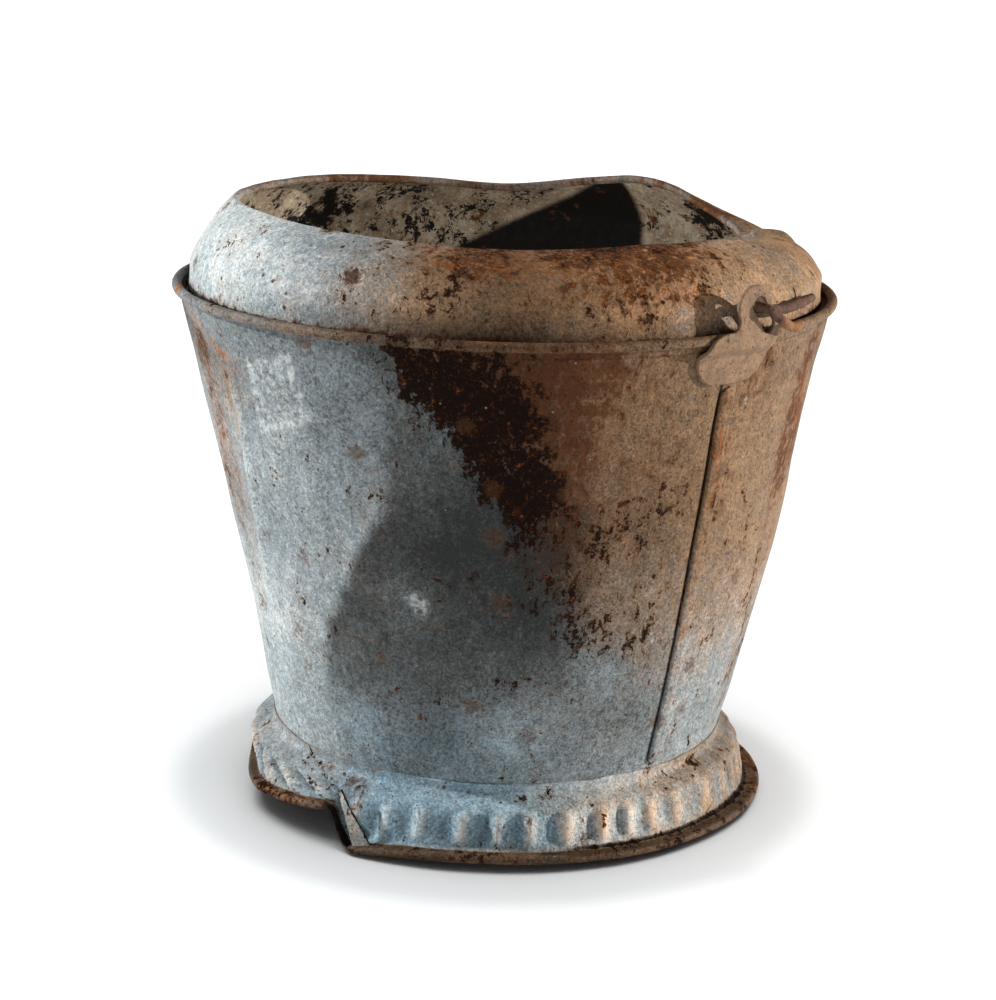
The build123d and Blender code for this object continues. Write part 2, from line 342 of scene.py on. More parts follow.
class Shader:
    """A small builder for node materials. Values are sockets, numbers or colours."""

    def __init__(self, name, metallic=0.0, specular=0.35):
        self.material = bpy.data.materials.new(name)
        self.material.use_nodes = True
        self.tree = self.material.node_tree
        self.tree.nodes.clear()
        self.main = self.tree.nodes.new("ShaderNodeBsdfPrincipled")
        end = self.tree.nodes.new("ShaderNodeOutputMaterial")
        self.tree.links.new(self.main.outputs["BSDF"], end.inputs["Surface"])
        self.main.inputs["Metallic"].default_value = metallic
        self.main.inputs["Specular IOR Level"].default_value = specular
        self.place = self.tree.nodes.new("ShaderNodeTexCoord").outputs["Object"]

    def put(self, socket, value):
        """Links a socket's value to an input, or sets it."""
        if isinstance(value, bpy.types.NodeSocket):
            self.tree.links.new(value, socket)
        elif isinstance(value, (tuple, list)) and socket.type == "RGBA":
            socket.default_value = (*value[:3], 1.0)
        else:
            socket.default_value = value

    def node(self, kind, inputs, **settings):
        """A new node, with its settings made before its inputs, since they decide which inputs it has."""
        node = self.tree.nodes.new("ShaderNode" + kind)
        for key, value in settings.items():
            setattr(node, key, value)
        for key, value in inputs.items():
            self.put(node.inputs[key], value)
        return node

    def attr(self, name):
        return self.node("Attribute", {}, attribute_name=name).outputs["Fac"]

    def streaks(self, across, down, slant=0.0, facing=0.0, detail=3.0):
        """Noise drawn out into streaks. slant turns them in the plane that faces the azimuth facing."""
        scale, turned = (across * MM, across * MM, down * MM), (math.radians(slant), 0, math.radians(facing))
        inputs = {"Vector": self.place, "Scale": scale, "Rotation": turned}
        return self.noise(1 / MM, detail, at=self.node("Mapping", inputs, vector_type="TEXTURE").outputs["Vector"])

    def noise(self, size, detail=3.0, rough=0.6, warp=0.0, at=None):
        inputs = {"Vector": self.place if at is None else at, "Scale": 1 / (size * MM)}
        inputs |= {"Detail": detail, "Roughness": rough, "Distortion": warp}
        return self.node("TexNoise", inputs).outputs["Fac"]

    def cells(self, size, output="Distance"):
        return self.node("TexVoronoi", {"Vector": self.place, "Scale": 1 / (size * MM)}).outputs[output]

    def dots(self, size, edge, centre, none, all):
        """Round dots in some cells of that size: full inside the distance centre, gone at edge. A cell has its dot
        when its own random value passes from none to all."""
        return self.times(self.ramp(self.cells(size), edge, centre), self.ramp(self.cells(size, "Color"), none, all))

    def math(self, operation, a, b=0.0, clamp=False):
        return self.node("Math", {0: a, 1: b}, operation=operation, use_clamp=clamp).outputs[0]

    def times(self, a, b):
        return self.math("MULTIPLY", a, b)

    def ramp(self, value, low, high, start=0.0, end=1.0):
        inputs = {"Value": value, "From Min": low, "From Max": high, "To Min": start, "To Max": end}
        return self.node("MapRange", inputs, interpolation_type="SMOOTHSTEP").outputs["Result"]

    def total(self, *terms):
        """The sum of sockets and (noise, amount) pairs. A noise counts from its middle value."""
        result = 0.0
        for term in terms:
            if isinstance(term, tuple):
                term = self.math("MULTIPLY", self.math("SUBTRACT", term[0], 0.5), term[1])
            result = self.math("ADD", result, term)
        return result

    def edge(self, mask, wobble, reach, low=0.4, high=0.6):
        """A smooth mask turned into patches: wobble (0 to 1) moves its edge by up to half of reach."""
        return self.ramp(self.total(mask, (wobble, reach)), low, high)

    def scale(self, value, stops):
        """A colour for each value, from (value, colour) stops that start at 0."""
        node = self.node("ValToRGB", {"Fac": self.math("DIVIDE", value, stops[-1][0], clamp=True)})
        steps = node.color_ramp.elements
        while len(steps) < len(stops):
            steps.new(0.5)
        for step, (at, colour) in zip(steps, stops):
            step.position = at / stops[-1][0]
            step.color = (*colour, 1.0)
        return node.outputs["Color"]

    def mix(self, factor, a, b, kind="MIX"):
        return self.node("Mix", {0: factor, 6: a, 7: b}, data_type="RGBA", blend_type=kind).outputs[2]

    def lay(self, mask, top, amount=None, kind="MIX"):
        """Puts a colour on the material where the mask is, in full or by an amount."""
        mask = mask if amount is None else self.times(mask, amount)
        self.colour = self.mix(mask, self.colour, top, kind)

    def bump(self, height, distance, strength=1.0, under=None):
        inputs = {"Distance": distance * MM, "Strength": strength, "Height": height}
        if under is not None:
            inputs["Normal"] = under
        return self.node("Bump", inputs).outputs["Normal"]

    def finish(self, rough, normal):
        self.put(self.main.inputs["Base Color"], self.colour)
        self.put(self.main.inputs["Roughness"], rough)
        self.put(self.main.inputs["Normal"], normal)
        return self.material


# Colours, linear. The tints multiply what is under them.
ZINC = [
    (0.0, (0.022, 0.024, 0.023)),
    (0.25, (0.070, 0.075, 0.073)),
    (0.5, (0.150, 0.170, 0.178)),
    (0.75, (0.232, 0.270, 0.284)),
    (1.0, (0.4, 0.44, 0.445)),
    (1.3, (0.66, 0.69, 0.67)),
]
TAN_TINT = (1.06, 0.56, 0.285)
BLUE_TINT = (0.74, 0.98, 1.14)
WARM_TINT = (1.1, 0.87, 0.74)
TAN = (0.2, 0.118, 0.062)
TAN_PALE = (0.36, 0.27, 0.18)
BROWN = (0.080, 0.029, 0.011)
BROWN_PALE = (0.15, 0.066, 0.026)
RUST_DARK = (0.010, 0.0055, 0.004)
RUST_ORANGE = (0.24, 0.075, 0.018)
ORANGE = (0.4, 0.16, 0.045)
CHALK = (0.6, 0.63, 0.61)
BROWNS = [(0.0, RUST_DARK), (0.56, BROWN), (1.1, BROWN_PALE)]
BLISTER = 21  # mm between blisters


def zinc(name, stain, spots):
    """Weathered zinc. The attribute tone is how pale it is; tan, cool, brown, rust, orange, chalk and grime say where
    each look is. The grime is partly painted shade: in the seam's groove, under the rolled rim and in the foot's
    groove."""
    s = Shader(name, metallic=0.04, specular=0.14)
    broad = s.noise(31, 4, 0.6, 0.5)
    patch = s.noise(12, 5, 0.68, 0.6)
    small = s.noise(4.6, 5, 0.74, 0.5)
    fine = s.noise(2.2, 4, 0.78, 0.3)
    grain = s.noise(1.1, 3, 0.8, 0.3)
    runs = s.streaks(2.8, 22)
    wide = s.total(0.5, (broad, 0.7), (s.noise(7, 5, 0.74, 0.6), 0.9), (runs, 0.3))

    clouds = s.total((broad, 0.35), (patch, 0.65), (small, 0.84), (fine, 1.2), (grain, 1.02), (runs, 0.3))
    tone = s.attr("tone")
    calmed = s.times(clouds, s.ramp(tone, 0.0, 0.7, 0.5, 1.0))  # dark zinc is less mottled
    s.colour = s.scale(s.total(tone, calmed), ZINC)
    s.lay(s.edge(s.attr("cool"), patch, 0.8, 0.0, 1.0), BLUE_TINT, kind="MULTIPLY")
    sparkle = s.times(s.ramp(s.noise(1.7, 3, 0.8, 0.3), 0.57, 0.64), s.ramp(tone, 0.4, 0.85))
    s.lay(sparkle, CHALK, 0.45)
    # A tan film tints it, with thin slanting scratches and some flat stains
    film = s.edge(s.attr("tan"), s.total(wide, (small, 0.4)), 1.0, 0.0, 1.0)
    s.lay(film, TAN_TINT, kind="MULTIPLY")
    scratch = s.times(s.ramp(s.streaks(1.3, 30, 24, FACE + 25, 2), 0.64, 0.74), s.attr("tan"))
    s.lay(scratch, TAN_PALE, 0.3)
    flat_stain = s.ramp(s.total(s.noise(15, 5, 0.75, 0.8), (fine, 0.5)), 0.56, 0.7)
    s.lay(flat_stain, TAN, stain)
    # Brown stain in a warm wash, then rust proper with lighter crumbs in it
    rough_edge = s.total(wide, (small, 0.9), (fine, 0.7), (runs, 0.2))
    wash = s.ramp(s.total(s.attr("brown"), (patch, 0.6)), 0.15, 0.75)
    s.lay(wash, WARM_TINT, kind="MULTIPLY")
    brown = s.edge(s.attr("brown"), rough_edge, 1.7, 0.36, 0.64)
    depth = s.times(brown, s.ramp(s.attr("brown"), 0.2, 0.6, 0.62, 0.94))
    s.lay(depth, s.scale(s.total(small, (fine, 1.0), (grain, 0.5)), BROWNS))
    rust = s.edge(s.attr("rust"), rough_edge, 2.1, 0.4, 0.62)
    crumbs = s.mix(s.ramp(s.total(small, (fine, 0.8)), 0.54, 0.8), RUST_DARK, BROWN)
    crumbs = s.mix(s.times(s.ramp(s.noise(1.8, 4, 0.75), 0.6, 0.7), 0.35), crumbs, RUST_ORANGE)
    s.lay(rust, crumbs)
    orange = s.edge(s.attr("orange"), s.total(small, (fine, 0.9), (runs, 0.5)), 1.8, 0.36, 0.68)
    s.lay(orange, s.mix(s.ramp(small, 0.42, 0.62), ORANGE, RUST_ORANGE), 0.8)
    # Blisters with a brown ring, scattered rust spots, pores and pale crumbs
    away = s.total(s.cells(BLISTER), (small, 0.45), (fine, 0.3))
    chosen = s.times(s.ramp(s.cells(BLISTER, "Color"), 0.5, 0.54), spots)
    s.lay(s.times(s.ramp(away, 0.27, 0.19), s.times(chosen, 0.6)), BROWN_PALE)
    core = s.mix(s.ramp(fine, 0.42, 0.58), RUST_DARK, BROWN)
    s.lay(s.times(s.ramp(away, 0.2, 0.14), s.times(chosen, 0.9)), core)
    spot = s.times(s.dots(8.5, 0.17, 0.07, 0.62, 0.68), spots)
    s.lay(spot, s.mix(s.ramp(fine, 0.4, 0.6), BROWN, RUST_DARK))
    pore = s.dots(3.4, 0.2, 0.1, 0.66, 0.7)
    s.lay(pore, s.mix(0.6, s.colour, RUST_DARK), 0.96)
    s.lay(s.dots(4.4, 0.14, 0.08, 0.8, 0.82), TAN_PALE, 0.6)
    # Chalky residue, and dark grime that is partly painted shade in grooves and under the rim
    chalk = s.edge(s.attr("chalk"), s.noise(3.4, 5, 0.75), 1.5, 0.35, 0.8)
    s.lay(chalk, CHALK, 0.75)
    s.lay(s.edge(s.attr("grime_and_shade"), small, 0.6, 0.36, 0.7), RUST_DARK)

    rusty = s.math("MAXIMUM", rust, s.times(brown, 0.6))
    s.put(s.main.inputs["Specular IOR Level"], s.ramp(rusty, 0.0, 1.0, 0.14, 0.02))
    rough = s.math("ADD", s.ramp(small, 0.3, 0.7, 0.5, 0.66), s.times(rusty, 0.24))
    normal = s.bump(s.noise(16, 3, 0.5), 0.9, 0.35)
    normal = s.bump(s.math("ADD", fine, s.times(rusty, s.noise(2.2, 4, 0.75))), 0.55, 0.84, normal)
    normal = s.bump(s.math("SUBTRACT", grain, s.math("ADD", spot, pore)), 0.22, 0.72, normal)
    return s.finish(rough, normal)


def rusty_iron(name, light, dark, accent, pitted, crust):
    """Rusted iron: light skin, dark pits, and an accent that follows the attribute orange."""
    s = Shader(name, specular=0.2)
    patch = s.noise(6, 4, 0.62, 0.3)
    small = s.noise(2.2, 4, 0.7)
    fine = s.noise(0.7, 3, 0.65)
    s.colour = s.mix(s.ramp(patch, 0.38, 0.64), light, tuple(0.72 * c for c in light))
    s.lay(s.ramp(small, 0.52, 0.66), dark, pitted)
    pit = s.dots(2.6, 0.26, 0.1, 0.62, 0.68)
    s.lay(pit, RUST_DARK)
    s.lay(s.edge(s.attr("orange"), small, 0.6), accent)
    s.lay(s.ramp(fine, 0.6, 0.35), tuple(0.4 * c for c in light), 0.35)
    rough = s.ramp(small, 0.3, 0.7, 0.6, 0.85)
    normal = s.bump(s.math("ADD", small, fine), 0.3 + crust, 0.6)
    normal = s.bump(s.math("SUBTRACT", fine, pit), 0.15, 0.5, normal)
    return s.finish(rough, normal)


# The darkest colour: mould, and the painted shadow inside the collar
MOULD_AND_SHADOW = (0.006, 0.005, 0.004)


def interior(name):
    """Inside of the bucket: stained zinc, with dark mould where the attribute mould says. The second dark attribute is
    a painted shadow, the collar lip's shadow on the far inside, with a small mould spot.
    """
    s = Shader(name, specular=0.12)
    broad = s.noise(30, 4, 0.6, 0.3)
    small = s.noise(5, 5, 0.7)
    fine = s.noise(1.8, 4, 0.7)
    s.colour = s.mix(s.ramp(broad, 0.38, 0.62), (0.21, 0.17, 0.12), (0.37, 0.315, 0.235))
    s.lay(s.ramp(small, 0.46, 0.62), (0.19, 0.115, 0.06), 0.7)
    s.lay(s.ramp(fine, 0.56, 0.68), CHALK, 0.6)
    s.lay(s.ramp(fine, 0.44, 0.34), BROWN, 0.6)
    spread = s.total(s.noise(3.2, 5, 0.8, 0.8), (s.noise(11, 4, 0.6, 0.5), 0.8))
    mould = s.edge(s.attr("mould"), spread, 1.9, 0.48, 0.54)
    # Adds the painted shadow of the collar's lip, in the mould's dark colour
    mould = s.math("MAXIMUM", mould, s.ramp(s.total(s.attr("painted_shadow_and_mould"), (fine, 0.5)), 0.15, 0.75))
    s.lay(mould, MOULD_AND_SHADOW)
    s.lay(s.ramp(s.noise(14, 5, 0.7, 0.5), 0.62, 0.68), BROWN)
    normal = s.bump(s.math("ADD", small, fine), 0.5, 0.6)
    return s.finish(s.ramp(small, 0.3, 0.7, 0.6, 0.85), normal)


# --- masks


def running(turn, z):
    """Broad streaks that run down."""
    return fbm(polar(60, turn, 0.12 * z), 9, 71, 3)


def between(value, low, high, soft):
    """1 from low to high, falling to 0 over soft outside them."""
    return smooth(value, low - soft, low) * (1 - smooth(value, high, high + soft))


def far_side(turn, start, full):
    """1 behind the bucket. start and full are degrees from its back."""
    return smooth(np.abs(wrap(turn - 180)), start, full)


def label_mask(turn, z):
    """What is left of a paper label, a leaning quadrilateral: (all of it, its border)."""
    low = along([(-49, 188.4), (-33.7, 200.6)], turn)
    high = along([(-49, 223.6), (-36.9, 233.1)], turn)
    right = along([(200, -33.7), (233, -36.9)], z)
    inside = np.minimum(np.minimum((turn + 48.9) * 2.4, (right - turn) * 2.4), np.minimum(high - z, z - low))
    return smooth(inside, -1, 2), smooth(inside, -1, 2) * (1 - smooth(inside, 3, 7))


SEAM = 39.15  # turn of the joint line of the seam in view

# Looks of the wall by height: (height, value). The first two give turns.
# BRIGHT_EDGE is where the painted light on the left side ends and the painted shade of the front begins
BRIGHT_EDGE = [
    (20, -36), (45, -40), (64, -42), (85, -41), (106, -38),
    (130, -31), (161, -22), (200, -19), (225, -19), (243, -24),
]
RUST_EDGE = [(90, 20), (110, 11), (130, 5), (150, 2), (175, -1), (190, -5), (205, -8), (219, -12), (241, -17)]
# The tones paint light and shade as well as patina: 'bright' and 'bright edge' are the left side, painted as lit by
# the side light; 'middle' is the front, partly darkened with painted shade
TONE = {
    "bright": [(36, 0.8), (64, 0.82), (97, 0.98), (125, 0.84), (150, 0.7), (173, 0.76), (212, 0.6), (240, 0.52)],
    "bright edge": [(36, 0.72), (64, 0.68), (100, 0.74), (150, 0.68), (184, 0.53), (206, 0.5), (240, 0.42)],
    "middle": [
        (36, 0.55), (48, 0.41), (60, 0.33), (94, 0.23), (120, 0.1),
        (154, 0.01), (170, 0.12), (185, 0.27), (240, 0.29),
    ],
    "right": [(36, 0.62), (54, 0.5), (65, 0.42), (95, 0.52), (124, 0.6), (164, 0.46), (228, 0.48)],
    "past seam": [(36, 0.72), (54, 0.68), (106, 0.67), (150, 0.6), (172, 0.58), (210, 0.54), (240, 0.46)],
}
TAN_RIGHT = [(55, 0.1), (66, 0.18), (95, 0.5), (124, 0.75), (160, 0.95), (240, 1.05)]
TAN_PAST_SEAM = [(40, 0.12), (60, 0.2), (106, 0.5), (150, 0.9), (172, 1.0), (240, 1.0)]
BROWN_BY_RUST = [(88, 0.0), (104, 0.34), (146, 0.44), (165, 0.52), (190, 0.66), (212, 0.8), (241, 0.92)]
RUST_WIDTH = [(120, 6), (146, 4), (165, 1), (190, 3), (219, 6), (241, 12)]
RUST = [(86, 0.0), (100, 0.28), (125, 0.36), (150, 0.36), (165, 0.62), (180, 0.95), (219, 1.1), (241, 0.8)]


def wall_masks(turn, z):
    turn = wrap(turn)
    p = polar(wall_radius(z), turn, z)
    streak, cloud, blotch = running(turn, z), fbm(p, 70, 75, 3), fbm(p, 16, 77, 2)
    # The flat behind the crease, the left side painted as lit, the rust's side, what lies right of the seam, the back
    facet = wrap(along(CREASE, z) - turn)
    on_facet = smooth(facet, -0.5, 1.5) * (1 - smooth(facet, 50, 62)) * smooth(z, 70, 130)
    past = along(BRIGHT_EDGE, z) - turn + blotch
    left = smooth(past, -1.5, 2.5) * (1 - smooth(-turn, 108, 130))
    off = turn - along(RUST_EDGE, z) + 3 * blotch
    right = smooth(turn, 8, 22) * (1 - smooth(turn, 118, 165))
    beyond = smooth(turn, SEAM - 0.55, SEAM + 0.45) * (1 - smooth(turn, 112, 135))
    back = far_side(turn, 75, 40)

    tone = along(TONE["middle"], z) + patches(turn, z, (0.4, 4, 13, 60, 20), (0.3, -34, 13, 56, 17)) + 0.08 * cloud
    tone = tone + right * (along(TONE["right"], z) - tone)
    tone = tone + beyond * (along(TONE["past seam"], z) - tone)
    edge = along(TONE["bright edge"], z)
    # The left side gets painted light, palest away from its edge
    tone = tone + left * (edge + (along(TONE["bright"], z) - edge) * smooth(past, 3, 20) - tone)
    # A painted highlight along the crease's ridge, fading in from below and out near the top
    crease_highlight = 0.18 * hill(facet, 0, 1.4) * smooth(z, 60, 150) * (1 - smooth(z, 205, 222))
    tone = tone + 0.06 * cloud + patches(turn, z, (0.22, -19, 6, 127, 13)) + crease_highlight
    tone = tone + on_facet * (0.02 * smooth(z, 150, 200) - 0.18 * smooth(z, 208, 226))
    tone = tone + back * (0.54 - 0.3 * cloud - tone)

    tan = 0.1 + on_facet * (0.26 + 0.3 * streak) + patches(turn, z, (0.3, -56, 8, 214, 16)) + 0.2 * cloud
    tan = np.maximum(tan, smooth(off, 0, 9) * (1 - smooth(turn, 118, 160)) * along(TAN_RIGHT, z))
    tan = np.maximum(tan, beyond * (along(TAN_PAST_SEAM, z) + 0.15 * streak))
    tan = np.maximum(tan, back * (0.4 + 0.4 * cloud + 0.3 * streak))

    reds = patches(turn, z, (0.42, 66, 8, 195, 42), (0.22, 46, 5, 150, 50))
    brown = 0.08 * cloud + on_facet * (0.15 + 0.34 * streak + 0.18 * smooth(z, 205, 225))
    brown = np.maximum(brown, smooth(off, -3, 3) * (1 - smooth(turn, 10, 30)) * along(BROWN_BY_RUST, z))
    by_seam = between(turn, 10, 36, 6) * smooth(z, 110, 160) * (1 - 0.4 * smooth(turn, 26, 36))
    brown = np.maximum(brown, 0.34 * by_seam)
    brown = np.maximum(brown, beyond * (0.06 + 0.1 * smooth(z, 110, 200) + 0.25 * streak + reds))
    brown = np.maximum(brown, back * (0.24 + 0.4 * cloud + 0.3 * streak + 0.2 * smooth(z, 180, 236)))

    width = along(RUST_WIDTH, z)
    rust = smooth(off, -8, 4) * (1 - smooth(off, width, width + 20)) * along(RUST, z)
    scattered = smooth(off, 3, 12) * (1 - smooth(turn, 30, 38)) * between(z, 118, 165, 22)
    rust = np.maximum(rust, 0.24 * scattered)
    rust = np.maximum(rust, back * (0.14 + 0.35 * cloud + 0.25 * smooth(z, 190, 236)))

    orange = 0.62 * between(-facet, 1.0, 3.5, 2.5) * smooth(z, 204, 226)
    orange = orange + on_facet * (0.05 * smooth(z, 180, 235) + 0.16 * smooth(streak, 0.2, 0.5))
    orange = orange + 0.45 * hill(turn, 40.8, 0.7) * smooth(z, 40, 70)
    orange = np.maximum(orange, beyond * patches(turn, z, (0.42, 70, 7, 205, 22)))

    label, border = label_mask(turn, z)
    chalk = 0.35 * label + 0.12 * border + left * (0.1 + 0.24 * smooth(streak, 0.4, 0.8))
    chalk = chalk + patches(turn, z, (0.56, -17, 4, 123, 9), (0.5, 46, 1.2, 211, 8))
    chalk = chalk + patches(turn, z, (0.4, 33, 3, 104, 7), (0.3, 5, 3, 126, 6))
    chalk = chalk + 0.24 * between(turn, -2, 14, 5) * hill(z, 64, 12)

    # Darker along the seam's joint, from rust in the groove and painted shade in it; and a band of painted shade under
    # the rolled rim
    grime_and_shade = 1.1 * hill(turn, SEAM, 0.4) * smooth(z, 34, 44) + 0.6 * hill(z, 238.5, 1.6) * smooth(turn, -40, 10)
    cool = 0.34 * (1 - smooth(z, 50, 90)) * (1 - 0.8 * right) * (1 - 0.6 * left)
    cool = cool + 0.1 * cloud * (np.abs(turn) < 110) + 0.12 * between(turn, -28, 0, 10)
    return dict(tone=tone, tan=tan, cool=cool, brown=brown, rust=rust, orange=orange, chalk=chalk, grime_and_shade=grime_and_shade)


# Looks of the collar by turn: (turn, value)
COLLAR_TONE = [
    (-180, 0.5), (-120, 0.6), (-80, 0.96), (-57, 0.98), (-36, 0.82), (-15, 0.66), (0, 0.42),
    (17, 0.68), (30, 0.72), (53, 0.83), (64, 0.76), (100, 0.58), (180, 0.5),
]
COLLAR_TAN = [
    (-180, 0.5), (-110, 0.2), (-60, 0.0), (-36, 0.2), (-15, 0.8), (0, 0.95),
    (30, 0.82), (53, 0.86), (64, 0.92), (110, 0.9), (180, 0.5),
]


def collar_masks(turn, height):
    """height runs from 0 at the trough to 1 at the lip."""
    turn = wrap(turn)
    p = polar(140, turn, 240 + 40 * height)
    cloud = fbm(p, 55, 81, 3)
    streak = fbm(polar(60, turn, 4 * height), 8, 85, 3)
    middle = between(turn, -22, 40, 25)
    tone = along(COLLAR_TONE, turn) + 0.14 * cloud - 0.12 * hill(height, 0.15, 0.15) * between(turn, -30, 20, 20)
    tan = along(COLLAR_TAN, turn) + 0.2 * cloud
    brown = 0.1 * cloud + 0.08 * smooth(turn, -40, -10)
    brown = brown + middle * (0.07 + 0.25 * cloud + 0.3 * hill(height, 0.97, 0.18))
    brown = brown + 0.12 * hill(height, 0.62, 0.18) * between(turn, 8, 30, 8)
    trough = 0.55 * hill(height, 0.02, 0.09)
    brown = np.maximum(brown, trough + 0.42 * smooth(streak, 0.1, 0.7) * smooth(turn, 60, 85))
    brown = np.maximum(brown, far_side(turn, 95, 60) * (0.3 + 0.4 * cloud))
    rust = 0.06 + 0.2 * cloud + 0.22 * hill(height, 0.96, 0.1)
    rust = middle * (rust + 0.12 * hill(height, 0.6, 0.14) * smooth(turn, 0, 14))
    orange = 0.26 * hill(height, 0.55, 0.12) * between(turn, 12, 36, 8) + 0.05
    orange = orange + 0.3 * hill(height, 0.86, 0.2) * between(turn, -12, 36, 8)
    orange = orange + 0.25 * smooth(streak, 0.2, 0.7) * smooth(turn, 66, 88)
    chalk = 0.3 * hill(height, 0.12, 0.08) * smooth(turn, 20, 45) + 0.1 * smooth(-turn, 40, 70)
    chalk = chalk + 0.2 * between(turn, -35, -18, 8) * hill(height, 0.75, 0.12)
    # Darkest at the trough where the collar leaves the rim
    grime_and_shade = 0.62 * hill(height, 0.0, 0.05) + 0.2 * hill(height, 0.0, 0.16)
    cool = np.zeros_like(turn)
    return dict(tone=tone, tan=tan, cool=cool, brown=brown, rust=rust, orange=orange, chalk=chalk, grime_and_shade=grime_and_shade)


# --- parts

SEAM_LOW, SEAM_HIGH = 36.0, 221.0  # heights between which the panels are folded together
SEAM_EASE = 2.5  # height over which an edge goes from flat to folded
RIM = (153.45, 243.1)  # radius and height of the rim's wire
ROLL = 1.95  # from the rim's wire to the middle of the sheet round it
TROUGH = 243.0  # height at which the collar leaves the rim


def fold(at, layer, way):
    """Points round a fold of a seam."""
    return [(at + way * 0.35 * math.cos(a), layer + way * math.sin(a)) for a in np.radians((-60, -30, 0, 30, 60))]


# Sections of the panels' edges: (degrees from the joint towards the back panel, layers of sheet outwards)
SEAM_FRONT = [(-2.75, 0), (-2.5, -0.15), (-2.3, -0.85), (-2.1, -1), (-1.4, -1), (-0.6, -1), (0.075, -1)]
SEAM_FRONT += [*fold(0.075, 0, 1), (0.075, 1), (-0.7, 1), (-1.5, 1)]
SEAM_BACK = [(1.25, 0), (1.02, 0.2), (0.86, 1), (0.7, 1.8), (0.5, 2), (-0.5, 2), (-1.54, 2)]
SEAM_BACK += [*fold(-1.54, 1, -1), (-1.54, 0), (-0.8, 0), (0.05, 0)]


def panel(name, seam, first, way, butt, materials):
    """One panel of the wall, half a turn from azimuth first. way is 1 if the azimuth there grows towards the back
    panel, else -1. Above and below the seam its edges are flat and end butt degrees from the joint."""
    seam = np.array(seam, dtype=float)
    flat = np.stack((np.linspace(seam[0, 0], butt, len(seam)), np.zeros(len(seam))), axis=1)
    low, high = SEAM_LOW + SEAM_EASE, SEAM_HIGH - SEAM_EASE
    z = np.concatenate((np.linspace(20, SEAM_LOW, 8), np.linspace(low, high, 78), np.linspace(SEAM_HIGH, 240.0, 10)))
    folded = smooth(z, SEAM_LOW, low) * (1 - smooth(z, high, SEAM_HIGH))
    ends = flat[:, None] + (seam - flat)[:, None] * folded[None, :, None]  # (stations, heights, 2)
    near, far = ends[::-1].copy(), ends.copy()
    near[..., 0] = first + way * near[..., 0]
    far[..., 0] = first + 180 - way * far[..., 0]
    plain = np.linspace(near[-1, 0, 0], far[0, 0, 0], 146)[1:-1]
    plain = np.stack((np.repeat(plain[:, None], len(z), 1), np.zeros((len(plain), len(z)))), axis=-1)
    grid = np.concatenate((near, plain, far))
    turn = grid[..., 0] - FACE
    body = polar(wall_radius(z) - SHEET / 2 + grid[..., 1] * PLY + dents(wrap(turn), z), turn, z)
    arc = np.radians(np.linspace(228, -46, 15))  # round the rim's wire
    edge = turn[:, -1:] + np.zeros(len(arc))
    waver = 0.15 * noise(polar(150, edge, 0), 30, 5)
    lip = polar(RIM[0] + ROLL * np.cos(arc), edge, RIM[1] + ROLL * np.sin(arc) + waver)
    piece = sheet(name, settle(np.concatenate((body, lip), axis=1)), materials, closed=False, lined=len(z) - 1)
    turns = np.concatenate((turn, edge), axis=1)
    heights = np.broadcast_to(np.concatenate((z, np.full(len(arc), TROUGH))), turns.shape)
    masks = wall_masks(turns, heights)
    warm = smooth(wrap(turns), -75, -25)
    rolled = dict(
        rust=masks["rust"] * 0.35 + 0.1,
        grime_and_shade=0.0,
        brown=0.45 * masks["brown"] + 0.05,
        tone=0.62 * masks["tone"] + 0.15 + 0.1 * (1 - warm),
        tan=np.maximum(masks["tan"], 0.3 + 0.45 * warm),
    )
    for key, value in rolled.items():
        masks[key] = np.where(heights > TROUGH - 1, value, masks[key])
    masks["mould"] = 0.1 + 0.35 * fbm(polar(100, turns, heights), 60, 91, 3)
    paint(piece, **masks)
    return piece


# The dented collar by turn: (turn, radius) or (turn, height)
LIP_RADIUS = [
    (0, 112.5), (30, 115.5), (-30, 114.5), (60, 116.2), (90, 118.6), (105, 122.6), (120, 117.6), (135, 113.6),
    (150, 118.6), (180, 110.6), (-150, 115.6), (-120, 122.6), (-90, 128.6), (-60, 122.6),
]
LIP_HEIGHT = [
    (0, 276.4), (30, 278.4), (-30, 278.4), (60, 277), (90, 269.4), (105, 265.4), (120, 274.4), (135, 284.6),
    (150, 284.4), (172, 277.5), (185, 276.5), (-165, 279), (-150, 281), (-126, 283.2), (-90, 282.4), (-60, 281.4),
]
KNEE_HEIGHT = [(0, 257), (-60, 258.5), (-90, 255), (-120, 257), (90, 255.5), (60, 256.5), (130, 257), (180, 259)]
SHOULDER = [(0, 135.5), (-90, 138.3), (-50, 137), (90, 137.0), (60, 137.5), (120, 136), (180, 135)]
SHOULDER_HEIGHT = [
    (0, 271), (-60, 273.5), (-90, 271), (-120, 273), (30, 271),
    (60, 268.5), (90, 266.0), (110, 265.5), (130, 270), (180, 272),
]
LIP_ROLL = 1.55  # from the lip's wire to the middle of the sheet round it
LIP_CURL = 12  # points round that wire


